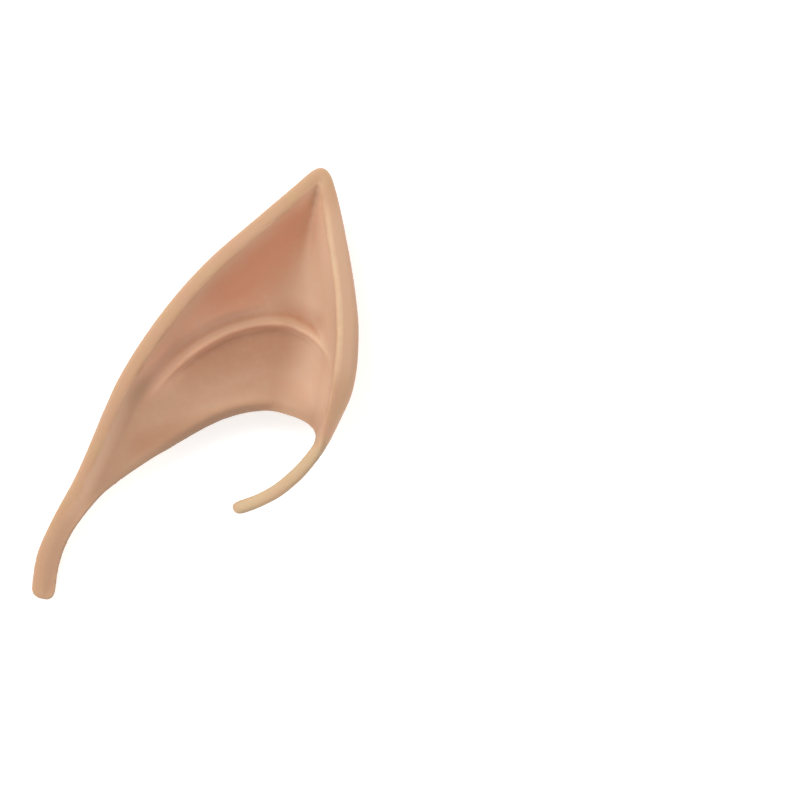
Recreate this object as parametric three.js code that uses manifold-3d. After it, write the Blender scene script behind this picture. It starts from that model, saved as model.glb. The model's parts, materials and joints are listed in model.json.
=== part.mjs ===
// Pointed elf ear tip: one hollow shell of moulded latex that slips over the top of the wearer's own ear.
// It lies on its back on a table. +Z is up, out of the bowl, and +Y runs from the tail's end to the point.
// The origin is on the table, under the middle of the ear. Lengths are in millimetres.

import * as THREE from "three";
import { mergeVertices } from "three/addons/utils/BufferGeometryUtils.js";
import Module from "manifold-3d";

const wasm = await Module();
wasm.setup();

// Overall size
const EAR_WIDTH = 76.4;
const EAR_LENGTH = 100.4;
const EAR_DEPTH = 22;

// The latex wall, and the pocket between the front and the back wall
const WALL = 1.6;
const LIP_SETBACK = 2.2; // how far the back wall's lip stays behind the front wall's
const POCKET_END_GAP = 1.5; // the pocket stops where its two walls come this close
const SOLID_WELT = 5.6; // a raised welt narrower than this is solid behind, as the ridge is
const MOUTH_OVERRUN = 1.5; // how far the pocket's cutter reaches out of the mouth
const BACK_LIFT = 0.8; // rise of the back wall from its lowest line to its lip

// The rim that runs round the bowl
const RIM_WIDTH = 3.6;
const RIM_SHOULDER = 3.4; // drop from the rim's crest to its outer edge
const CREST_ROUND = 0.5;

// The front wall's lip, which rolls down to the mouth
const LIP_ROLL_WIDTH = 2.8;
const LIP_ROLL_HEIGHT = 2.2;

// The curved ridge across the bowl
const RIDGE_HEIGHT = 1.6;
const BASIN_DEPTH = 2.7; // how deep the basin between the lip and the ridge is at its lowest
const FOOT_DEPTH = 1.5; // the same at the foot of the ridge
const RIDGE_STEP = 1.4; // width of the steep side, which faces the lip
const RIDGE_TOP = 1.6; // width of its flat top
const RIDGE_TOP_FALL = 0.25; // how far the top tips towards the rim
const RIDGE_BACK = 1.3; // width of the side that faces the rim

// Where the bowl narrows, the lip's roll and the ridge's two sides keep to these shares of their room
const ROOM_BELOW_RIDGE = 0.4;
const ROOM_ABOVE_RIDGE = 0.8;

// Where the basin is lowest, from the lip's roll to the foot of the ridge
const BASIN_MIDDLE = 0.45;

// The place on the bowl's wall, from its foot to the rim, at which the table gives how far it has risen
const WALL_MIDDLE = 0.6;

// The tail, a flat tongue, and the hook, a round strip
const TAIL_WIDTH = 6;
const TAIL_THICKNESS = 3;
const TAIL_CHANNEL = 0.35; // depth of the flat beside the tail's own rim
const TAIL_END = 2.4; // length of the tail's rounded end
const TAIL_SQUARENESS = 0.8; // the same as square in the body's table
const HOOK_WIDTH = 3.25;
const HOOK_THICKNESS = 3.3;
const HOOK_END = 2;
const HOOK_SQUARENESS = 1;
const END_BLUNTNESS = 0.6; // 1 is a half-round end, and less is squarer

// How the strips' edges round off, as shares of their width and thickness
const STRIP_EDGE = 0.3;
const STRIP_BULGE = 0.36;
const STRIP_CREST = 0.03;
const BACK_CURVE = 2.2; // how sharply the back wall curves in under the rim

// Steps of the loft between two sections, and along one section
const STEPS_BETWEEN = 3;
const PANEL_STEPS = { roll: 3, basin: 3, rise: 2, step: 3, top: 1, back: 2, floor: 1, wall: 5 };
const RIM_STEPS = { crest: 2, shoulder: 4 };
const BACK_STEPS = { under: 6, keel: 3 };
const GRAIN = 0.7; // spacing of the points that the wall is measured by
const POCKET_STEPS = 16;
const END_STEPS = 3;

const LATEX = { color: 0xd9b092, roughness: 0.55, metalness: 0 };

// Turns rows of numbers into objects that have the named columns.
function table(columns, rows) {
  return rows.map((row) => Object.fromEntries(columns.map((column, i) => [column, row[i]])));
}

// The tail from its end upwards: the middle line and the top's height, as shares of the ear's sizes,
// and the width, as a share of the tail's.
const TAIL = table(
  ["x", "y", "top", "width"],
  [
    [0.037, 0.027, 0.138, 0.98],
    [0.053, 0.097, 0.18, 1.0],
    [0.084, 0.155, 0.235, 0.96],
    [0.129, 0.213, 0.305, 1.06],
  ],
);

// The body, fanned round the mouth from the tail over the point to the hook.
// lipX, lipY, edgeX, edgeY: the mouth's lip and the outer edge, as shares of the ear's width and length.
// lip, floor, rim, keel: heights, as shares of the ear's depth.
// roll, ridge, band: shares of the roll's height, the ridge's height and the rim's width.
// ridgeAt, floorAt: places between the lip, 0, and the rim, 1.
// keelAt: the same for the back's lowest line, but counted from the outer edge.
// wall: how much of its rise the bowl's wall has made in its middle.
// square: 1 for a quarter-round shoulder outside the rim's crest, and less for a squarer one.
const BODY = table(
  [
    "lipX", "lipY", "edgeX", "edgeY", "lip", "roll", "ridgeAt", "ridge", "floorAt", "floor", "wall",
    "rim", "band", "square", "keelAt", "keel",
  ],
  [
    [0.233, 0.253, 0.134, 0.287, 0.25, 0.3, 0.4, 0.0, 0.62, 0.33, 0.5, 0.38, 0.84, 0.8, 0.5, 0.16],
    [0.366, 0.323, 0.202, 0.402, 0.31, 0.6, 0.5, 0.0, 0.66, 0.41, 0.46, 0.54, 0.88, 0.75, 0.5, 0.075],
    [0.488, 0.38, 0.274, 0.522, 0.35, 1.0, 0.7, 0.0, 0.82, 0.465, 0.42, 0.67, 0.95, 0.75, 0.52, 0.025],
    [0.577, 0.414, 0.372, 0.637, 0.38, 1.3, 0.69, 0.6, 0.84, 0.485, 0.38, 0.79, 1.02, 0.75, 0.54, 0.0],
    [0.647, 0.431, 0.523, 0.774, 0.4, 1.35, 0.588, 1.0, 0.73, 0.475, 0.4, 0.88, 1.06, 0.75, 0.56, 0.0],
    [0.689, 0.436, 0.689, 0.883, 0.42, 1.2, 0.489, 1.0, 0.63, 0.455, 0.4, 0.87, 1.07, 0.75, 0.56, 0.0],
    [0.716, 0.4375, 0.819, 0.969, 0.435, 1.0, 0.404, 1.0, 0.55, 0.445, 0.32, 0.765, 1.07, 0.8, 0.5, 0.0],
    [0.728, 0.437, 0.858, 0.994, 0.445, 0.8, 0.383, 1.0, 0.53, 0.44, 0.21, 0.71, 1.08, 0.85, 0.42, 0.0],
    [0.74, 0.436, 0.885, 1.0, 0.455, 0.65, 0.377, 1.0, 0.52, 0.44, 0.2, 0.69, 1.1, 0.9, 0.38, 0.0],
    [0.752, 0.434, 0.909, 0.988, 0.46, 0.55, 0.38, 1.0, 0.53, 0.44, 0.21, 0.705, 1.12, 0.9, 0.42, 0.0],
    [0.77, 0.43, 0.93, 0.946, 0.47, 0.45, 0.404, 1.0, 0.55, 0.44, 0.38, 0.765, 1.3, 0.95, 0.5, 0.0],
    [0.7915, 0.425, 0.957, 0.857, 0.48, 0.35, 0.477, 0.95, 0.61, 0.46, 0.48, 0.86, 1.5, 1.0, 0.6, 0.0],
    [0.825, 0.415, 0.987, 0.729, 0.49, 0.3, 0.605, 0.75, 0.66, 0.535, 0.5, 0.96, 1.6, 1.0, 0.64, 0.0],
    [0.852, 0.399, 1.001, 0.614, 0.5, 0.3, 0.77, 0.3, 0.8, 0.7, 0.52, 1.0, 1.78, 1.0, 0.66, 0.025],
    [0.8635, 0.379, 0.984, 0.49, 0.515, 0.3, 0.6, 0.0, 0.74, 0.71, 0.5, 0.93, 1.64, 1.0, 0.64, 0.12],
    [0.8595, 0.367, 0.937, 0.409, 0.53, 0.4, 0.5, 0.0, 0.7, 0.68, 0.5, 0.8, 1.0, 1.0, 0.6, 0.32],
  ],
);

// The hook from the body to its end, with the tail's columns.
const HOOK = table(
  ["x", "y", "top", "width"],
  [
    [0.87, 0.348, 0.69, 0.97],
    [0.814, 0.297, 0.61, 1.03],
    [0.749, 0.255, 0.53, 1.0],
    [0.686, 0.23, 0.475, 1.0],
    [0.6395, 0.2175, 0.45, 1.0],
  ],
);

function mix(a, b, share) {
  return a + (b - a) * share;
}

function onPlan(x, y) {
  return new THREE.Vector2((x - 0.5) * EAR_WIDTH, (y - 0.5) * EAR_LENGTH);
}

function raised(point, height) {
  return new THREE.Vector3(point.x, point.y, height);
}

// The direction to the right of the way from one point to another: the mouth's side of the ear.
function rightOf(from, to) {
  const way = to.clone().sub(from).normalize();
  return new THREE.Vector2(way.y, -way.x);
}

// A height that runs smoothly through [place, height] knots and never swings past one.
function throughKnots(knots, place) {
  const slopes = knots.slice(1).map((knot, i) => (knot[1] - knots[i][1]) / (knot[0] - knots[i][0]));
  const tangents = knots.map((_, i) => {
    if (i === 0) return slopes[0];
    if (i === knots.length - 1) return slopes[i - 1];
    const turns = slopes[i - 1] * slopes[i] <= 0;
    return turns ? 0 : (2 * slopes[i - 1] * slopes[i]) / (slopes[i - 1] + slopes[i]);
  });
  const last = knots.length - 2;
  const i = Math.min(last, Math.max(0, knots.findIndex((knot) => knot[0] > place) - 1));
  const at = place >= knots[last + 1][0] ? last : i;
  const width = knots[at + 1][0] - knots[at][0];
  const t = (place - knots[at][0]) / width;
  return (
    (2 * t ** 3 - 3 * t ** 2 + 1) * knots[at][1] +
    (t ** 3 - 2 * t ** 2 + t) * width * tangents[at] +
    (3 * t ** 2 - 2 * t ** 3) * knots[at + 1][1] +
    (t ** 3 - t ** 2) * width * tangents[at + 1]
  );
}

// The tail and the hook: a strip of the given width and thickness across its middle line.
function stripRibs(rows, before, after, strip) {
  const middles = [before, ...rows.map((row) => onPlan(row.x, row.y)), after].filter(Boolean);
  const offset = before ? 1 : 0;
  return rows.map((row, i) => {
    const middle = middles[i + offset];
    const from = middles[Math.max(0, i + offset - 1)];
    const to = middles[Math.min(middles.length - 1, i + offset + 1)];
    const inward = rightOf(from, to);
    const half = (strip.width * row.width) / 2;
    const top = row.top * EAR_DEPTH;
    return {
      lipPlace: middle.clone().addScaledVector(inward, half),
      edgePlace: middle.clone().addScaledVector(inward, -half),
      inward,
      band: half,
      rim: top,
      shoulder: strip.thickness / 2,
      square: strip.square,
      crest: strip.thickness * STRIP_CREST,
      lip: top - strip.thickness / 2,
      roll: strip.thickness * STRIP_BULGE,
      ridgeAt: 0.4,
      ridge: 0,
      floorAt: 0.65,
      floor: top - strip.thickness * STRIP_CREST - strip.channel,
      wall: 0.6,
      keelAt: STRIP_EDGE,
      keel: top - strip.thickness,
      lift: 0,
      setback: 2 * half * STRIP_EDGE,
    };
  });
}

function bodyRibs(before, after) {
  const edges = [before, ...BODY.map((row) => onPlan(row.edgeX, row.edgeY)), after];
  return BODY.map((row, i) => ({
    lipPlace: onPlan(row.lipX, row.lipY),
    edgePlace: edges[i + 1],
    inward: rightOf(edges[i], edges[i + 2])
      .add(onPlan(row.lipX, row.lipY).sub(edges[i + 1]).normalize())
      .normalize(),
    band: RIM_WIDTH * row.band,
    rim: row.rim * EAR_DEPTH,
    shoulder: RIM_SHOULDER * Math.min(1, row.band),
    square: row.square,
    crest: CREST_ROUND,
    lip: row.lip * EAR_DEPTH,
    roll: LIP_ROLL_HEIGHT * row.roll,
    ridgeAt: row.ridgeAt,
    ridge: row.ridge,
    floorAt: row.floorAt,
    floor: row.floor * EAR_DEPTH,
    wall: row.wall,
    keelAt: row.keelAt,
    keel: row.keel * EAR_DEPTH,
    lift: BACK_LIFT,
    setback: LIP_SETBACK,
  }));
}

// How much of the ridge's top and back fits in front of the bowl's wall: 1 is all of it.
function ridgeRoom(rib, panel) {
  const room = ROOM_ABOVE_RIDGE * (rib.floorAt - rib.ridgeAt) * panel;
  return Math.min(1, room / (RIDGE_TOP + RIDGE_BACK));
}

// Places between the lip, 0, and the rim's inner edge, 1, where the front wall changes its slope.
function featuresOf(rib, panel) {
  const { ridgeAt, floorAt } = rib;
  const roll = Math.min(LIP_ROLL_WIDTH / panel, ROOM_BELOW_RIDGE * ridgeAt);
  const foot = ridgeAt - Math.min(RIDGE_STEP / panel, ROOM_BELOW_RIDGE * ridgeAt);
  const room = ridgeRoom(rib, panel);
  const top = ridgeAt + (room * RIDGE_TOP) / panel;
  const back = top + (room * RIDGE_BACK) / panel;
  return { roll, basin: mix(roll, foot, BASIN_MIDDLE), foot, ridgeAt, top, back, floorAt };
}

// The front wall's heights at those places. The ridge and the basin are counted from a straight slope.
// Where the ridge runs into the bowl's wall it keeps its height instead of falling off towards the rim.
function panelKnots(rib, features, panel) {
  const { roll, basin, foot, ridgeAt, top, back, floorAt } = features;
  const rollTop = rib.lip + rib.roll;
  const wallTop = rib.rim - rib.crest;
  const merged = (1 - ridgeRoom(rib, panel)) * rib.ridge * RIDGE_HEIGHT;
  const wallFoot = rib.floor + merged;
  const slope = (place) => mix(rollTop, rib.floor, (place - roll) / (floorAt - roll));
  return [
    [0, rib.lip],
    [roll, rollTop],
    [basin, slope(basin) - rib.ridge * BASIN_DEPTH],
    [foot, slope(foot) - rib.ridge * FOOT_DEPTH],
    [ridgeAt, slope(ridgeAt) + rib.ridge * RIDGE_HEIGHT],
    [top, slope(top) + rib.ridge * (RIDGE_HEIGHT - RIDGE_TOP_FALL)],
    [back, slope(back) + merged],
    [floorAt, wallFoot],
    [mix(floorAt, 1, WALL_MIDDLE), mix(wallFoot, wallTop, rib.wall)],
    [1, wallTop],
  ];
}

// Splits the stretches between the given stops into steps, leaving out the first stop.
function stepsThrough(stops, counts) {
  return counts.flatMap((count, i) =>
    Array.from({ length: count }, (_, j) => mix(stops[i], stops[i + 1], (j + 1) / count)),
  );
}

// One section of the ear without its pocket: the front from the lip to the outer edge, then the back.
function sectionOf(rib) {
  const rimInner = rib.edgePlace.clone().addScaledVector(rib.inward, rib.band);
  const panel = rimInner.distanceTo(rib.lipPlace);
  const features = featuresOf(rib, panel);
  const knots = panelKnots(rib, features, panel);
  const places = stepsThrough([0, ...Object.values(features), 1], Object.values(PANEL_STEPS));
  const front = [0, ...places].map((place) =>
    raised(rib.lipPlace.clone().lerp(rimInner, place), throughKnots(knots, place)),
  );

  // The rim: a round inner edge up to the crest, and a broad shoulder down to the outer edge.
  const crestFrom = rib.band - rib.crest;
  const rimArc = (reach, fall, angle, square) =>
    raised(
      rib.edgePlace.clone().addScaledVector(rib.inward, crestFrom + reach * Math.sin(angle) ** square),
      rib.rim - fall * (1 - Math.cos(angle) ** square),
    );
  for (let i = RIM_STEPS.crest - 1; i >= 0; i--) {
    front.push(rimArc(rib.crest, rib.crest, ((i / RIM_STEPS.crest) * Math.PI) / 2, 1));
  }
  for (let i = 1; i <= RIM_STEPS.shoulder; i++) {
    const angle = ((i / RIM_STEPS.shoulder) * Math.PI) / 2;
    front.push(rimArc(-crestFrom, rib.shoulder, angle, rib.square));
  }

  // The back runs under the same line, from the outer edge to its own lip.
  const length = rib.band + panel;
  const edgeHeight = rib.rim - rib.shoulder;
  const lipShare = 1 - rib.setback / length;
  const keelShare = Math.min(rib.keelAt, 0.9 * lipShare);
  const backPoint = (share) => {
    const run = share * length;
    const point =
      run < rib.band
        ? rib.edgePlace.clone().addScaledVector(rib.inward, run)
        : rimInner.clone().lerp(rib.lipPlace, (run - rib.band) / panel);
    const outer = Math.max(0, 1 - share / keelShare);
    const inner = Math.max(0, (share - keelShare) / (lipShare - keelShare));
    return raised(point, mix(rib.keel, edgeHeight, outer ** BACK_CURVE) + rib.lift * inner ** 2);
  };
  const back = stepsThrough([0, keelShare, lipShare], Object.values(BACK_STEPS)).map(backPoint);
  return { front, back };
}

// Fills in sections between the given ones, along smooth curves through their matching points.
function fillBetween(sections, steps) {
  const count = (sections.length - 1) * steps;
  const curves = (side) =>
    sections[0][side].map((_, k) => {
      const matching = sections.map((section) => section[side][k]);
      return new THREE.CatmullRomCurve3(matching);
    });
  const fronts = curves("front");
  const backs = curves("back");
  return Array.from({ length: count + 1 }, (_, i) => ({
    front: fronts.map((curve) => curve.getPoint(i / count)),
    back: backs.map((curve) => curve.getPoint(i / count)),
  }));
}

function middleOf(ring) {
  return ring.reduce((sum, point) => sum.add(point), new THREE.Vector3()).divideScalar(ring.length);
}

// Rings that carry a strip past its last ring to a rounded end, the last ring outermost.
function roundedEnd(ring, nextRing, reach) {
  const middle = middleOf(ring);
  const outward = middle.clone().sub(middleOf(nextRing)).setZ(0).normalize();
  return Array.from({ length: END_STEPS }, (_, i) => {
    const angle = (((i + 1) / (END_STEPS + 0.5)) * Math.PI) / 2;
    return ring.map((point) =>
      point
        .clone()
        .sub(middle)
        .multiplyScalar(Math.cos(angle) ** END_BLUNTNESS)
        .add(middle)
        .addScaledVector(outward, reach * Math.sin(angle)),
    );
  });
}

// A closed surface through rings of matching points, with a flat fan at each end.
function loft(rings) {
  const size = rings[0].length;
  const points = [...rings.flat(), middleOf(rings[0]), middleOf(rings[rings.length - 1])];
  const faces = [];
  for (let i = 0; i + 1 < rings.length; i++) {
    for (let k = 0; k < size; k++) {
      const a = i * size + k;
      const b = i * size + ((k + 1) % size);
      faces.push(a, a + size, b, b, a + size, b + size);
    }
  }
  const firstMiddle = rings.length * size;
  const lastRing = (rings.length - 1) * size;
  for (let k = 0; k < size; k++) {
    const next = (k + 1) % size;
    faces.push(firstMiddle, k, next, firstMiddle + 1, lastRing + next, lastRing + k);
  }
  return new THREE.BufferGeometry().setFromPoints(points).setIndex(faces);
}

function solidFrom(geometry) {
  const merged = mergeVertices(geometry);
  const mesh = new wasm.Mesh({
    numProp: 3,
    vertProperties: merged.attributes.position.array,
    triVerts: new Uint32Array(merged.index.array),
  });
  return new wasm.Manifold(mesh);
}

// The same line with its points no further apart than the grain.
function fineLine(line) {
  return line.slice(1).flatMap((point, i) => {
    const count = Math.ceil(point.distanceTo(line[i]) / GRAIN);
    return Array.from({ length: count }, (_, j) => line[i].clone().lerp(point, (j + 1) / count));
  });
}

// Points all over one side of the skin, no further apart than the grain.
function cloudOf(lines) {
  const across = lines[0].map((_, k) => fineLine(lines.map((line) => line[k])));
  return across.slice(1).flatMap((line, k) => {
    const other = across[k];
    return line.flatMap((point, i) => {
      const from = other[Math.round((i / line.length) * (other.length - 1))];
      return fineLine([from, point]);
    });
  });
}

// The height at which a ball as thick as the wall, centred at this place, first meets the wall's outside:
// under the front with side 1, or over the back with side -1.
function innerHeight(place, outside, side) {
  let height = side * Infinity;
  for (const point of outside) {
    const apart = (point.x - place.x) ** 2 + (point.y - place.y) ** 2;
    if (apart >= WALL ** 2) continue;
    const limit = point.z - side * Math.sqrt(WALL ** 2 - apart);
    height = side > 0 ? Math.min(height, limit) : Math.max(height, limit);
  }
  return height;
}

// For each height on the list, the one that the pick takes from those within half a welt's width.
function picked(heights, pick) {
  const reach = Math.round(SOLID_WELT / 2 / GRAIN);
  return heights.map((_, i) => pick(...heights.slice(Math.max(0, i - reach), i + reach + 1)));
}

// The pocket's ceiling and floor along one section, from the mouth to where the two walls meet.
function pocketRun(section, fronts, backs) {
  const backLip = section.back[section.back.length - 1];
  const places = [section.front[0], ...fineLine(section.front)];
  const underFront = places.map((place) => innerHeight(place, fronts, 1));
  const ceilings = picked(picked(underFront, Math.min), Math.max);
  const run = places.map((place, i) => {
    const floor = innerHeight(place, backs, -1);
    return { place, ceiling: ceilings[i], floor: Number.isFinite(floor) ? floor : backLip.z + WALL };
  });
  const closed = run.findIndex(({ ceiling, floor }) => ceiling - floor < POCKET_END_GAP);
  return closed > POCKET_STEPS / 2 ? run.slice(0, closed) : null;
}

// One ring of the pocket's cutter, which reaches out of the mouth.
function pocketRing(run) {
  const last = run.length - 1;
  const steps = Array.from({ length: POCKET_STEPS + 1 }, (_, i) => (i / POCKET_STEPS) * last);
  const at = (step, key) => {
    const i = Math.min(last - 1, Math.floor(step));
    const from = run[i];
    const to = run[i + 1];
    return raised(from.place.clone().lerp(to.place, step - i), mix(from[key], to[key], step - i));
  };
  const ceiling = steps.map((step) => at(step, "ceiling"));
  const floor = steps.map((step) => at(step, "floor"));
  const out = ceiling[0].clone().sub(ceiling[1]).setZ(0).setLength(MOUTH_OVERRUN);
  const outside = [floor[0], ceiling[0]].map((point) => point.clone().add(out));
  return [...ceiling, ...floor.reverse(), ...outside];
}

// The longest stretch of the list with no gap in it.
function longestStretch(list) {
  const stretches = [[]];
  for (const item of list) {
    if (item) stretches[stretches.length - 1].push(item);
    else stretches.push([]);
  }
  return stretches.reduce((longest, stretch) => (stretch.length > longest.length ? stretch : longest));
}

const bodyStart = onPlan(BODY[0].edgeX, BODY[0].edgeY).lerp(onPlan(BODY[0].lipX, BODY[0].lipY), 0.5);
const lastBody = BODY[BODY.length - 1];
const bodyEnd = onPlan(lastBody.edgeX, lastBody.edgeY).lerp(onPlan(lastBody.lipX, lastBody.lipY), 0.5);
const tailRibs = stripRibs(TAIL, null, bodyStart, {
  width: TAIL_WIDTH,
  thickness: TAIL_THICKNESS,
  channel: TAIL_CHANNEL,
  square: TAIL_SQUARENESS,
});
const hookRibs = stripRibs(HOOK, bodyEnd, null, {
  width: HOOK_WIDTH,
  thickness: HOOK_THICKNESS,
  channel: 0,
  square: HOOK_SQUARENESS,
});
const ribs = [
  ...tailRibs,
  ...bodyRibs(tailRibs[tailRibs.length - 1].edgePlace, hookRibs[0].edgePlace),
  ...hookRibs,
];

const sections = ribs.map(sectionOf);
const skin = fillBetween(sections, STEPS_BETWEEN);
const rings = skin.map(({ front, back }) => [...front, ...back]);
const tailEnd = roundedEnd(rings[0], rings[1], TAIL_END).reverse();
const hookEnd = roundedEnd(rings[rings.length - 1], rings[rings.length - 2], HOOK_END);
const block = solidFrom(loft([...tailEnd, ...rings, ...hookEnd]));

const fronts = cloudOf(skin.map(({ front }) => front));
const backs = cloudOf(skin.map(({ front, back }) => [front[front.length - 1], ...back]));
const runs = longestStretch(skin.map((section) => pocketRun(section, fronts, backs)));
const pocket = solidFrom(loft(runs.map(pocketRing)));

const shell = block.subtract(pocket).getMesh();
const geometry = new THREE.BufferGeometry()
  .setAttribute("position", new THREE.BufferAttribute(shell.vertProperties, shell.numProp))
  .setIndex(new THREE.BufferAttribute(shell.triVerts, 1));

// Puts the origin on the table, under the middle of the ear.
geometry.computeBoundingBox();
const middle = geometry.boundingBox.getCenter(new THREE.Vector3());
geometry.translate(-middle.x, -middle.y, -geometry.boundingBox.min.z);
geometry.computeVertexNormals();

const earShell = new THREE.Mesh(geometry, new THREE.MeshStandardMaterial(LATEX));
earShell.name = "ear_shell";

const earTip = new THREE.Group();
earTip.add(earShell);

export default earTip;
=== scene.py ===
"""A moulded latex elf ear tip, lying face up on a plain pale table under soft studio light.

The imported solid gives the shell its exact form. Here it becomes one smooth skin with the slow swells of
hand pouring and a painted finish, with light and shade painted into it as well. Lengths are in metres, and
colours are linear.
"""

import json
import math

import bpy
import numpy as np
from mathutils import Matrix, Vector
from mathutils.bvhtree import BVHTree
from mathutils.geometry import interpolate_bezier

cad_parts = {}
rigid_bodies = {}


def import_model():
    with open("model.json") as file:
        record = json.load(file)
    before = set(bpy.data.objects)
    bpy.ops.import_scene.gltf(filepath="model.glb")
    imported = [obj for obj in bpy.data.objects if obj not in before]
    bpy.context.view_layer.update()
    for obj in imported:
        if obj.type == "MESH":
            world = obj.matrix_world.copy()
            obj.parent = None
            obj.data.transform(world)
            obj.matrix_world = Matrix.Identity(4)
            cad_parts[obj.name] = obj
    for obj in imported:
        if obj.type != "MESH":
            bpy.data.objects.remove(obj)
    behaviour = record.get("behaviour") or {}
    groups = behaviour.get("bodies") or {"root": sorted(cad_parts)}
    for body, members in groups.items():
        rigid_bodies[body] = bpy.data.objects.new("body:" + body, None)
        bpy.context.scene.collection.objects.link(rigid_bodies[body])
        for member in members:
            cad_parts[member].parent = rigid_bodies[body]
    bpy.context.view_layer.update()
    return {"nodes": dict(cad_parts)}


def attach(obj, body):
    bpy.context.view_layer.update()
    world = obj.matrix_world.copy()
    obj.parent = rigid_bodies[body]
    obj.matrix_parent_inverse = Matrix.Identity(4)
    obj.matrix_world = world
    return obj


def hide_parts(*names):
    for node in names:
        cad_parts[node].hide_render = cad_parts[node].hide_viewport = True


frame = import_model()

# The skin
GRAIN = 0.00042  # size of the skin's facets
SAME_PLACE = 0.00001  # corners of the solid's facets this close are one
NEARLY_FLAT = math.radians(40)  # two triangles that bend less than this become one four-sided face
SMOOTHING_PASSES = 2
HAND_WORK = 0.00020  # height of the slow swells that hand pouring leaves
HAND_WORK_SIZE = 0.011
SKIN_RIPPLE = 0.00005
SKIN_RIPPLE_SIZE = 0.0028

# How the finish finds its way over the skin
HOLLOW_PASSES = 60  # how far round a spot the skin's own level is taken
RELIEF_PASSES = 2  # how much the measured hollows are evened out
SPRAY_REACH = 0.0006  # how far off the skin a ray starts that looks up for anything in the spray's way
SPRAY_PASSES = 12  # how softly the spray ends
OVERHANG = -0.35  # skin that faces down more than this gets no spray
LINE_POINTS = 6  # points on a curve from one given place to the next, with both ends
TIE = 1e-9  # stretches of a line that differ by less are as near, and the first one counts

# Where a thumb has softened the form: from, to, reach, and how many times
SOFTENED = (
    ((-0.0345, -0.0450, 0.003), (-0.0290, -0.0310, 0.007), 0.0035, 30),  # the tail's flat
    ((0.0310, 0.0060, 0.013), (0.0310, -0.0060, 0.015), 0.0030, 12),  # foot of the wall by the hook
    ((0.0200, 0.0380, 0.001), (0.0330, 0.0330, 0.002), 0.0090, 24),  # back of the point
    ((0.0280, 0.0430, 0.011), (0.0245, 0.0270, 0.009), 0.0060, 10),  # fold of the bowl under the point
)

# The inner edge of the rim, from the tail's end over the point to the hook's end
RIM_LINE = (
    (-0.0354, -0.0475),
    (-0.0341, -0.0405),
    (-0.0318, -0.0346),
    (-0.0283, -0.0288),
    (-0.0251, -0.0224),
    (-0.0199, -0.0114),
    (-0.0144, 0.0002),
    (-0.0072, 0.0111),
    (0.0037, 0.0241),
    (0.0158, 0.0348),
    (0.0254, 0.0434),
    (0.0287, 0.0463),
    (0.0296, 0.0414),
    (0.0309, 0.0322),
    (0.0327, 0.0194),
    (0.0328, 0.0082),
    (0.0314, -0.0029),
    (0.0298, -0.0093),
    (0.0283, -0.0153),
    (0.0240, -0.0204),
    (0.0190, -0.0246),
    (0.0142, -0.0271),
    (0.0107, -0.0284),
)

# The lower edge of the ridge across the bowl, from the tail's side to the hook's side
RIDGE_LINE = (
    (-0.0126, -0.0046),
    (-0.0057, 0.0024),
    (-0.0010, 0.0068),
    (0.0036, 0.0098),
    (0.0082, 0.0120),
    (0.0128, 0.0132),
    (0.0174, 0.0140),
    (0.0220, 0.0134),
    (0.0267, 0.0112),
    (0.0310, 0.0067),
)

# The edge along the cut-out, from the tail's end over the lip to the hook's root
LIP_LINE = (
    (-0.0320, -0.0475),
    (-0.0310, -0.0395),
    (-0.0297, -0.0349),
    (-0.0269, -0.0295),
    (-0.0204, -0.0248),
    (-0.0102, -0.0178),
    (-0.0009, -0.0120),
    (0.0059, -0.0086),
    (0.0112, -0.0069),
    (0.0174, -0.0063),
    (0.0223, -0.0075),
    (0.0269, -0.0101),
    (0.0278, -0.0134),
)

# Level direction that points away from the light, for the edges that lie in the shade
AWAY_FROM_LIGHT = (0.6, -0.8, 0.0)
TURNED_START = 0.35  # skin that faces that way less than this keeps its colour
TURNED_BLEND = 0.6  # and this much more is fully turned away

# Soft strokes of colour on the ear, for the paint's own tones and for painted light and shade: from, to,
# and how far the colour reaches
STROKES = {
    # far_wall and front_wall: the walls' own tone, with painted light where they lie in shade
    "far_wall": ((0.0220, 0.0420, 0.014), (-0.0100, 0.0040, 0.010), 0.0090),
    "front_wall": ((0.0315, 0.0410, 0.013), (0.0270, 0.0000, 0.012), 0.0110),
    "front_rim": ((0.0345, 0.0360, 0.016), (0.0365, 0.0060, 0.020), 0.0090),
    "hook": ((0.0275, -0.0160, 0.014), (0.0107, -0.0284, 0.009), 0.0060),
    "tail": ((-0.0360, -0.0500, 0.002), (-0.0310, -0.0360, 0.006), 0.0120),
    "blush": ((0.0220, 0.0390, 0.010), (0.0080, 0.0240, 0.009), 0.0140),
    "on_ridge": ((0.0280, 0.0115, 0.011), (0.0000, 0.0080, 0.010), 0.0120),
    # under_ridge, behind_ridge, lip_shade and corner place painted shade; on_ridge and ridge_end place the
    # ridge's painted highlight and shade
    "under_ridge": ((0.0200, 0.0100, 0.009), (-0.0010, 0.0060, 0.009), 0.0090),
    "behind_ridge": ((0.0220, 0.0165, 0.011), (0.0270, 0.0140, 0.011), 0.0050),
    "ridge_end": ((-0.0098, -0.0007, 0.010), (0.0100, 0.0165, 0.010), 0.0090),
    "lip_shade": ((-0.0120, -0.0145, 0.010), (0.0160, -0.0055, 0.011), 0.0055),
    "corner": ((0.0279, 0.0448, 0.013), (0.0270, 0.0430, 0.012), 0.0035),
}

# Bands of paint along a line: how far to the right of it their middle lies, and how far they reach.
# The rim's crest and the ridge's edge get painted highlight, the ridge's back and the lip's edge painted
# shade.
RIM_CREST = (-0.0007, 0.0009)
RIDGE_EDGE = (0.0005, 0.0011)
RIDGE_BACK = (-0.0024, 0.0024)
LIP_EDGE = (0.0, 0.0028)

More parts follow.
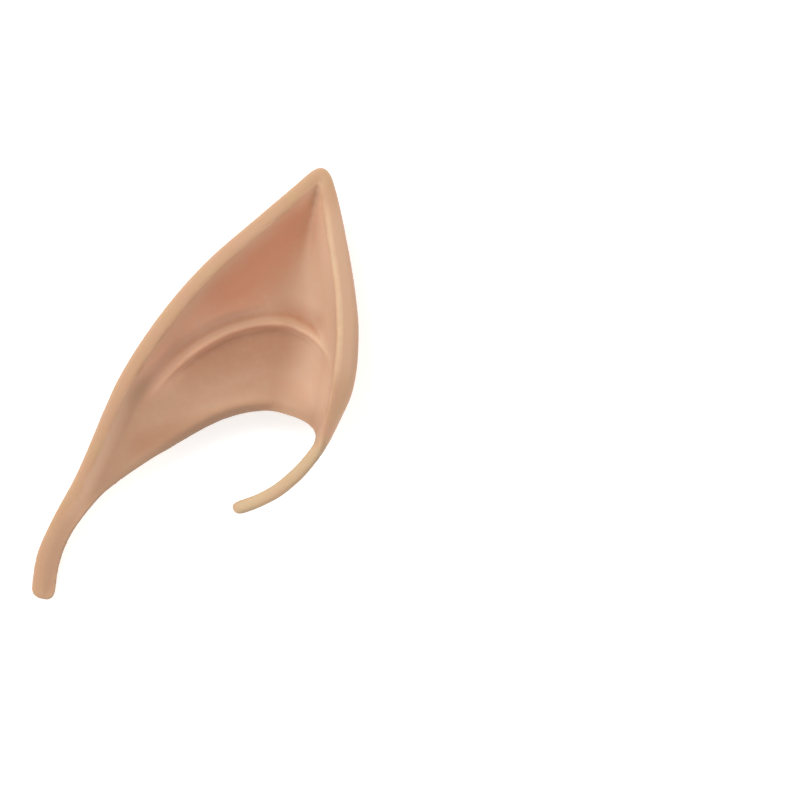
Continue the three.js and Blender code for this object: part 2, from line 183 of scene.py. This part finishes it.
# Where one paint goes over into the next
RIM_SEAM = 0.0012  # width of the seam between the rim and the bowl
TAIL_SEAM = 0.006  # how much wider it is on the tail
SEAM_WANDER = 0.0014
PAINTED_LIGHT_BAND = 0.0028  # width of the band of painted light inside the rim
OUTER_EDGE = -0.0034  # where the painted shade on the rim's outside starts, to the left of the rim's line
OUTER_EDGE_BLEND = 0.0014
RELIEF = 0.0009  # a hollow this deep takes the full painted shade, and a rise this high the full painted highlight

# Sizes of the finish's cloudy noise
PATCHES = 0.009
MOTTLE = 0.0022
WANDER = 0.005
SHEEN = 0.004
PORES = 0.0005
PORE_DEPTH = 0.0002
TABLE_TONES = 0.4

# The table, the light and the room
TABLE_SIZE = 4.0
TABLE_GAP = 0.0002  # between the table and the ear's lowest point
TABLE_PAINTED_GLOW = 0.5  # a glow painted into the table, which is no lamp, keeps shadows faint
KEY_LIGHT_PLACE = (-0.55, 0.75, 1.2)
KEY_LIGHT_SIZE = 0.9
KEY_LIGHT_POWER = 10.0
ROOM_LIGHT = 0.78

# The camera looks straight down, and the ear lies left of the middle of its view
CAMERA_HEIGHT = 1.6
VIEW_WIDTH = 0.1846  # at the height of the rim
RIM_HEIGHT = 0.012
VIEW_CENTRE = (0.0474, -0.0037)
SENSOR_WIDTH = 36.0  # in millimetres, as the lens is
NEAREST_SEEN = 0.05
FARTHEST_SEEN = 20.0


# Modelling


def deselect_all():
    for item in list(bpy.context.selected_objects):
        item.select_set(False)


def work_on(piece):
    deselect_all()
    piece.select_set(True)
    bpy.context.view_layer.objects.active = piece


def apply_modifier(piece, kind, **settings):
    modifier = piece.modifiers.new(kind.title(), kind)
    for name, value in settings.items():
        setattr(modifier, name, value)
    work_on(piece)
    bpy.ops.object.modifier_apply(modifier=modifier.name)


def swell(name, size):
    texture = bpy.data.textures.new(name, "CLOUDS")
    texture.noise_scale = size
    texture.noise_depth = 1
    return texture


def drop_crumbs(skin):
    """Keeps only what hangs together with the skin's highest vertex."""
    work_on(skin)
    bpy.ops.object.mode_set(mode="EDIT")
    bpy.ops.mesh.select_all(action="DESELECT")
    bpy.ops.object.mode_set(mode="OBJECT")
    max(skin.data.vertices, key=lambda vertex: vertex.co.z).select = True
    bpy.ops.object.mode_set(mode="EDIT")
    bpy.ops.mesh.select_linked()
    bpy.ops.mesh.select_all(action="INVERT")
    bpy.ops.mesh.delete(type="VERT")
    bpy.ops.object.mode_set(mode="OBJECT")


def skin_from(node, name):
    """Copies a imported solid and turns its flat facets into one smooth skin."""
    work_on(node)
    bpy.ops.object.duplicate()
    skin = bpy.context.view_layer.objects.active
    skin.name = name
    work_on(skin)
    bpy.ops.object.parent_clear(type="CLEAR_KEEP_TRANSFORM")
    bpy.ops.object.transform_apply(location=True, rotation=True, scale=True)
    skin.data.materials.clear()
    bpy.ops.object.mode_set(mode="EDIT")
    bpy.ops.mesh.select_all(action="SELECT")
    bpy.ops.mesh.remove_doubles(threshold=SAME_PLACE)
    bpy.ops.mesh.tris_convert_to_quads(face_threshold=NEARLY_FLAT, shape_threshold=NEARLY_FLAT)
    bpy.ops.object.mode_set(mode="OBJECT")
    apply_modifier(skin, "SUBSURF", levels=2, render_levels=2)
    apply_modifier(skin, "REMESH", mode="VOXEL", voxel_size=GRAIN)
    drop_crumbs(skin)
    apply_modifier(skin, "SMOOTH", factor=0.5, iterations=SMOOTHING_PASSES)
    return skin


def hand_poured(skin):
    """Adds the slow swells and the fine ripple of a skin that was poured and peeled by hand."""
    for name, size, height in (
        ("swell", HAND_WORK_SIZE, HAND_WORK),
        ("ripple", SKIN_RIPPLE_SIZE, SKIN_RIPPLE),
    ):
        apply_modifier(
            skin,
            "DISPLACE",
            texture=swell(name, size),
            texture_coords="LOCAL",
            direction="NORMAL",
            mid_level=0.5,
            strength=height,
        )


# What the finish needs to know of each spot on the skin


def smooth_line(places):
    """The curve through the given places, as short straight stretches."""
    knots = [Vector((*place, 0.0)) for place in places]
    row = [2 * knots[0] - knots[1], *knots, 2 * knots[-1] - knots[-2]]
    line = [knots[0]]
    for before, start, end, after in zip(row, row[1:], row[2:], row[3:]):
        first = start + (end - before) / 6
        second = end - (after - start) / 6
        line += interpolate_bezier(start, first, second, end, LINE_POINTS)[1:]
    return np.array(line)[:, :2]


def right_of(line, places):
    """How far each place lies to the right of the line, and below 0 to its left."""
    nearest = np.full(len(places), np.inf)
    signed = np.zeros(len(places))
    for start, end in zip(line, line[1:]):
        along = end - start
        offset = places - start
        share = np.clip(offset @ along / (along @ along), 0.0, 1.0)
        apart = np.linalg.norm(offset - share[:, None] * along, axis=1)
        side = np.sign(offset[:, 0] * along[1] - offset[:, 1] * along[0])
        closer = apart < nearest - TIE
        nearest[closer] = apart[closer]
        signed[closer] = (side * apart)[closer]
    return signed


def evened(values, edges, passes):
    """The values, shared out between neighbours a number of times."""
    ends = np.concatenate([edges, edges[:, ::-1]])
    counts = np.bincount(ends[:, 0], minlength=len(values))
    for _ in range(passes):
        sums = [np.bincount(ends[:, 0], column[ends[:, 1]], len(values)) for column in values.T]
        values = 0.5 * values + 0.5 * (np.array(sums) / counts).T
    return values


def read(items, name, kind, width):
    values = np.empty(len(items) * width, kind)
    items.foreach_get(name, values)
    return values.reshape(-1, width)


def note_down(skin, name, values):
    layer = skin.data.attributes.new(name, "FLOAT", "POINT")
    layer.data.foreach_set("value", values.astype(np.float32))


def soften(skin, start, end, reach, passes):
    """Evens out the skin along a line, most of all in its middle."""
    mesh = skin.data
    places = read(mesh.vertices, "co", np.float32, 3).astype(float)
    edges = read(mesh.edges, "vertices", np.int32, 2)
    start, along = np.array(start), np.array(end) - np.array(start)
    share = np.clip((places - start) @ along / (along @ along), 0.0, 1.0)
    apart = np.linalg.norm(places - start - share[:, None] * along, axis=1)
    weight = np.clip(1.0 - apart / reach, 0.0, 1.0)[:, None]
    smooth = evened(places, edges, passes)
    places += weight * weight * (3.0 - 2.0 * weight) * (smooth - places)
    mesh.vertices.foreach_set("co", places.astype(np.float32).ravel())
    mesh.update()


def map_for_the_finish(skin):
    """Notes down, for every spot, what the finish goes by.

    That is how far it lies from three lines, how far it is turned away from the light, how far it stands
    out from the skin round it, and whether the spray met it.
    """
    mesh = skin.data
    places = read(mesh.vertices, "co", np.float32, 3)
    normals = read(mesh.vertices, "normal", np.float32, 3)
    edges = read(mesh.edges, "vertices", np.int32, 2)
    for name, line in (("inside_rim", RIM_LINE), ("below_ridge", RIDGE_LINE), ("past_lip", LIP_LINE)):
        note_down(skin, name, right_of(smooth_line(line), places[:, :2]))
    note_down(skin, "turned_away", normals @ np.array(AWAY_FROM_LIGHT))

    level = evened(places.astype(float), edges, HOLLOW_PASSES)
    stands_out = np.sum((places - level) * normals, axis=1)
    note_down(skin, "stands_out", evened(stands_out[:, None], edges, RELIEF_PASSES)[:, 0])

    faces = BVHTree.FromObject(skin, bpy.context.evaluated_depsgraph_get())
    up = Vector((0.0, 0.0, 1.0))
    sprayed = np.zeros(len(places))
    for i, (place, normal) in enumerate(zip(places, normals)):
        if normal[2] > OVERHANG:
            start = Vector(place) + SPRAY_REACH * Vector(normal) + SPRAY_REACH * up
            sprayed[i] = faces.ray_cast(start, up)[0] is None
    note_down(skin, "sprayed", evened(sprayed[:, None], edges, SPRAY_PASSES)[:, 0])


# Materials


class Wire:
    """An output socket in a material, so that shader maths reads as plain expressions."""

    def __init__(self, finish, socket):
        self.finish = finish
        self.socket = socket

    def maths(self, operation, *values, clamp=False):
        settings = {"operation": operation, "use_clamp": clamp}
        return self.finish.add("Math", settings, dict(enumerate(values)))

    def __add__(self, other):
        return self.maths("ADD", self, other)

    __radd__ = __add__

    def __sub__(self, other):
        return self.maths("SUBTRACT", self, other)

    def __rsub__(self, other):
        return self.maths("SUBTRACT", other, self)

    def __mul__(self, other):
        return self.maths("MULTIPLY", self, other)

    __rmul__ = __mul__

    def __truediv__(self, other):
        return self.maths("DIVIDE", self, other)

    def clamped(self):
        return self.maths("ADD", self, 0, clamp=True)

    def softly(self):
        """Eases a share in and out, and keeps it between 0 and 1."""
        settings = {"interpolation_type": "SMOOTHSTEP"}
        return self.finish.add("MapRange", settings, {"Value": self})


class Finish:
    """A material in the making."""

    def __init__(self, name):
        self.material = bpy.data.materials.new(name)
        self.material.use_nodes = True
        self.tree = self.material.node_tree
        self.tree.nodes.clear()

    def add(self, kind, settings=None, sockets=None, output=0):
        """Adds a node: its settings first, then the values or links of its sockets."""
        node = self.tree.nodes.new("ShaderNode" + kind)
        for name, value in (settings or {}).items():
            setattr(node, name, value)
        for name, value in (sockets or {}).items():
            if isinstance(value, Wire):
                self.tree.links.new(value.socket, node.inputs[name])
            else:
                node.inputs[name].default_value = value
        return None if output is None else Wire(self, node.outputs[output])

    def place(self):
        return self.add("TexCoord", output="Object")

    def noted(self, name):
        """What map_for_the_finish noted down for the spot."""
        return self.add("Attribute", {"attribute_name": name}, output="Fac")

    def noise(self, size, detail=2.0, roughness=0.5):
        """Cloudy noise, its patches about as large as the size says."""
        sockets = {"Vector": self.place(), "Scale": 1 / size, "Detail": detail, "Roughness": roughness}
        return self.add("TexNoise", None, sockets)

    def blend(self, share, first, second):
        """Mixes two colours, which a Mix node has at its inputs 6 and 7 and its output 2."""
        sockets = {"Factor": share, 6: first, 7: second}
        return self.add("Mix", {"data_type": "RGBA"}, sockets, 2)

    def stroke(self, start, end, radius):
        """A soft stroke of colour between two places, strongest in its middle."""
        along = Vector(end) - Vector(start)
        offset = self.add("VectorMath", {"operation": "SUBTRACT"}, {0: self.place(), 1: start})
        share = self.add(
            "VectorMath",
            {"operation": "DOT_PRODUCT"},
            {0: offset, 1: along / along.length_squared},
            "Value",
        ).clamped()
        nearest = self.add("VectorMath", {"operation": "SCALE"}, {0: along, "Scale": share})
        apart = self.add("VectorMath", {"operation": "DISTANCE"}, {0: offset, 1: nearest}, "Value")
        return (1 - apart / radius).softly()

    def surface(self, sockets):
        """Gives the material its surface, and returns the material."""
        shader = self.add("BsdfPrincipled", None, sockets)
        self.add("OutputMaterial", None, {"Surface": shader}, None)
        return self.material


# Paints, and colours of painted light and shade
RAW_LATEX = (0.60, 0.43, 0.28, 1.0)
DARK_LATEX = (0.53, 0.36, 0.22, 1.0)
RIM_SKIN = (0.545, 0.335, 0.182, 1.0)
FRONT_RIM = (0.62, 0.385, 0.25, 1.0)
HOOK_SKIN = (0.69, 0.55, 0.33, 1.0)
RIM_FLUSH = (0.57, 0.32, 0.205, 1.0)
BOWL_SKIN = (0.48, 0.27, 0.166, 1.0)
# The walls' colours: partly their own orange and pink tone, partly painted light where the walls lie in
# shade
WALL_TONE_AND_LIGHT = (0.72, 0.39, 0.255, 1.0)
FRONT_TONE_AND_LIGHT = (0.69, 0.44, 0.295, 1.0)
# Painted light, beside the rim and along the ridge's edge
PAINTED_LIGHT_SKIN = (0.87, 0.58, 0.405, 1.0)
BLUSH = (0.615, 0.255, 0.145, 1.0)
# Painted shade, in hollows, by the ridge, at the lip and on the rim's outside
SHADE_BROWN = (0.41, 0.17, 0.085, 1.0)
# Painted shade along edges that turn under, away from the light
EDGE_SHADE = (0.20, 0.13, 0.08, 1.0)
SHADE_SKIN = (0.30, 0.17, 0.105, 1.0)
# Painted highlights, on raised places and on the front rim's crest
RAISED_HIGHLIGHT = (0.67, 0.43, 0.262, 1.0)
CREST_HIGHLIGHT = (0.74, 0.52, 0.32, 1.0)

# The table and the room
WHITE = (1.0, 1.0, 1.0, 1.0)
TABLE_GREY = (0.78, 0.78, 0.78, 1.0)
TABLE_PALE = (0.80, 0.80, 0.80, 1.0)


def band(distance, middle, reach):
    """A share that is 1 in the middle of a band and falls off to 0 on both sides."""
    off = (distance - middle) / reach
    return (1 - off * off).clamped()


class Spot:
    """What the finish goes by at each spot: the notes on it, the strokes over it and the noise there."""

    def __init__(self, finish):
        for name in ("inside_rim", "below_ridge", "past_lip", "turned_away", "stands_out", "sprayed"):
            setattr(self, name, finish.noted(name))
        for name, stroke in STROKES.items():
            setattr(self, name, finish.stroke(*stroke))
        self.patches = finish.noise(PATCHES)
        self.mottle = finish.noise(MOTTLE, detail=3.0)
        # The ridge's back, where shade is painted
        self.above_ridge = band(self.below_ridge, *RIDGE_BACK) * self.ridge_end

        # The brush wandered a little where the rim and the bowl meet
        wander = SEAM_WANDER * finish.noise(WANDER) - SEAM_WANDER / 2
        seam = RIM_SEAM + TAIL_SEAM * self.tail
        self.in_bowl = ((self.inside_rim + wander) / seam + 0.5).softly() * (1 - self.hook)


def two_skins(finish, spot):
    """The rim's yellower skin and the bowl's pinker one, with painted light on the walls and beside the
    rim.
    """
    rim = finish.blend((2.2 * spot.patches - 0.6).clamped(), RIM_SKIN, RIM_FLUSH)
    rim = finish.blend(spot.front_rim, rim, FRONT_RIM)
    rim = finish.blend(0.6 * spot.hook, rim, HOOK_SKIN)
    # The far and the front wall get their own tone together with painted light
    bowl = finish.blend(spot.far_wall, BOWL_SKIN, WALL_TONE_AND_LIGHT)
    bowl = finish.blend(spot.front_wall, bowl, FRONT_TONE_AND_LIGHT)
    # A band of painted light inside the rim
    beside_rim = (1 - spot.inside_rim / PAINTED_LIGHT_BAND).clamped()
    paler = beside_rim * (0.42 + 0.38 * spot.front_wall) * (1 - spot.tail)
    bowl = finish.blend(paler.clamped(), bowl, PAINTED_LIGHT_SKIN)
    return finish.blend(spot.in_bowl, rim, bowl)


def blushed(finish, spot, colour):
    """Adds the blush under the point, which hardly touches the front wall."""
    blush = spot.blush * (1 - 0.9 * spot.front_wall)
    return finish.blend((blush * spot.in_bowl * (0.8 + 0.4 * spot.patches)).clamped(), colour, BLUSH)


def paint_shade(finish, spot, colour):
    """Paints shade in a thin dark brown into hollows, by the ridge, at the lip and on the rim's outside."""
    # Less painted shade on the lightened walls
    less_shade_on_walls = (1 - 0.8 * spot.front_wall) * (1 - 0.7 * spot.far_wall)
    hollow = (spot.stands_out / -RELIEF).clamped() * (0.6 + 0.5 * spot.mottle) * less_shade_on_walls
    by_ridge = 0.45 * spot.under_ridge * spot.in_bowl
    shade = 0.2 * hollow + by_ridge + 0.5 * spot.lip_shade + 0.5 * spot.behind_ridge
    outside = ((spot.inside_rim - OUTER_EDGE) / -OUTER_EDGE_BLEND).clamped() * spot.front_rim
    return finish.blend((shade + 0.35 * outside).clamped(), colour, SHADE_BROWN)


def shaded(finish, spot, colour):
    """Paints shade that keeps the ridge's back and the corner under the point a little darker."""
    return finish.blend((0.5 * spot.above_ridge + 0.5 * spot.corner).clamped(), colour, SHADE_SKIN)


def paint_highlights(finish, spot, colour):
    """Paints highlights on raised places, on the ridge's edge and on the front rim's crest."""
    raised = (spot.stands_out / RELIEF).clamped() * (0.5 + spot.mottle) * (1 - spot.above_ridge)
    colour = finish.blend((0.8 * raised * spot.in_bowl).clamped(), colour, RAISED_HIGHLIGHT)
    ridge_edge = band(spot.below_ridge, *RIDGE_EDGE) * spot.on_ridge
    ridge_highlight = finish.blend(spot.front_wall, WALL_TONE_AND_LIGHT, PAINTED_LIGHT_SKIN)
    colour = finish.blend(0.7 * ridge_edge, colour, ridge_highlight)
    crest = band(spot.inside_rim, *RIM_CREST) * spot.front_rim * (0.3 + spot.mottle)
    return finish.blend(crest.clamped(), colour, CREST_HIGHLIGHT)


def bare_where_unsprayed(finish, spot, colour):
    """Leaves the pour's own colour bare where the spray did not reach."""
    bare = finish.blend((2.0 * spot.patches - 0.5).clamped(), RAW_LATEX, DARK_LATEX)
    return finish.blend((spot.sprayed + 0.5 * spot.mottle - 0.25).clamped(), bare, colour)


def edged(finish, spot, colour):
    """Paints shade as a darker line where the skin turns under, on the side away from the light."""
    at_edge = (band(spot.past_lip, *LIP_EDGE) + spot.hook + spot.tail).clamped()
    turned_away = ((spot.turned_away - TURNED_START) / TURNED_BLEND).clamped()
    edge_shade_line = 0.65 * turned_away * at_edge * (1.6 * spot.sprayed).clamped()
    return finish.blend(edge_shade_line, colour, EDGE_SHADE)


def latex_finish():
    """Painted latex, one coat over the other, with painted light and shade among the coats, fine pores and
    a satin sheen.
    """
    finish = Finish("painted_latex")
    spot = Spot(finish)
    colour = two_skins(finish, spot)
    for coat in (blushed, paint_shade, shaded, paint_highlights, bare_where_unsprayed, edged):
        colour = coat(finish, spot, colour)
    pores = finish.noise(PORES, detail=3.0)
    return finish.surface(
        {
            "Base Color": colour,
            "Roughness": 0.5 + 0.12 * finish.noise(SHEEN),
            "Normal": finish.add("Bump", None, {"Strength": 0.15, "Distance": PORE_DEPTH, "Height": pores}),
            "Subsurface Weight": 0.2,
            "Subsurface Radius": (1.0, 0.45, 0.25),
            "Subsurface Scale": 0.003,
            "Specular IOR Level": 0.35,
        }
    )


def table_finish():
    """A plain pale table top with a little painted glow, which keeps the shadows on it faint."""
    finish = Finish("table_top")
    return finish.surface(
        {
            "Base Color": finish.blend(finish.noise(TABLE_TONES), TABLE_GREY, TABLE_PALE),
            "Roughness": 0.7,
            "Emission Color": WHITE,
            "Emission Strength": TABLE_PAINTED_GLOW,
        }
    )


# The ear

ear = skin_from(frame["nodes"]["ear_shell"], "ear_latex")
for start, end, reach, passes in SOFTENED:
    soften(ear, start, end, reach, passes)
hand_poured(ear)
map_for_the_finish(ear)
work_on(ear)
bpy.ops.object.shade_smooth()
ear.data.materials.append(latex_finish())
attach(ear, "root")
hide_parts("ear_shell")


# The studio

deselect_all()
bpy.ops.mesh.primitive_plane_add(size=TABLE_SIZE, location=(0.0, 0.0, -TABLE_GAP))
table = bpy.context.object
table.name = "table_top"
table.data.materials.append(table_finish())

deselect_all()
bpy.ops.object.light_add(type="AREA", location=KEY_LIGHT_PLACE)
key_light = bpy.context.object
key_light.name = "key_light"
key_light.data.shape = "DISK"
key_light.data.size = KEY_LIGHT_SIZE
key_light.data.energy = KEY_LIGHT_POWER
key_light.rotation_euler = (-Vector(KEY_LIGHT_PLACE)).to_track_quat("-Z", "Y").to_euler()

studio = bpy.data.worlds.new("studio")
studio.use_nodes = True
background = studio.node_tree.nodes["Background"]
background.inputs["Color"].default_value = WHITE
background.inputs["Strength"].default_value = ROOM_LIGHT
bpy.context.scene.world = studio

deselect_all()
bpy.ops.object.camera_add(location=(*VIEW_CENTRE, CAMERA_HEIGHT), rotation=(0.0, 0.0, 0.0))
camera = bpy.context.object
camera.name = "camera"
camera.data.sensor_width = SENSOR_WIDTH
camera.data.lens = SENSOR_WIDTH * (CAMERA_HEIGHT - RIM_HEIGHT) / VIEW_WIDTH
camera.data.clip_start = NEAREST_SEEN
camera.data.clip_end = FARTHEST_SEEN
bpy.context.scene.camera = camera
bpy.context.scene.view_settings.view_transform = "Standard"
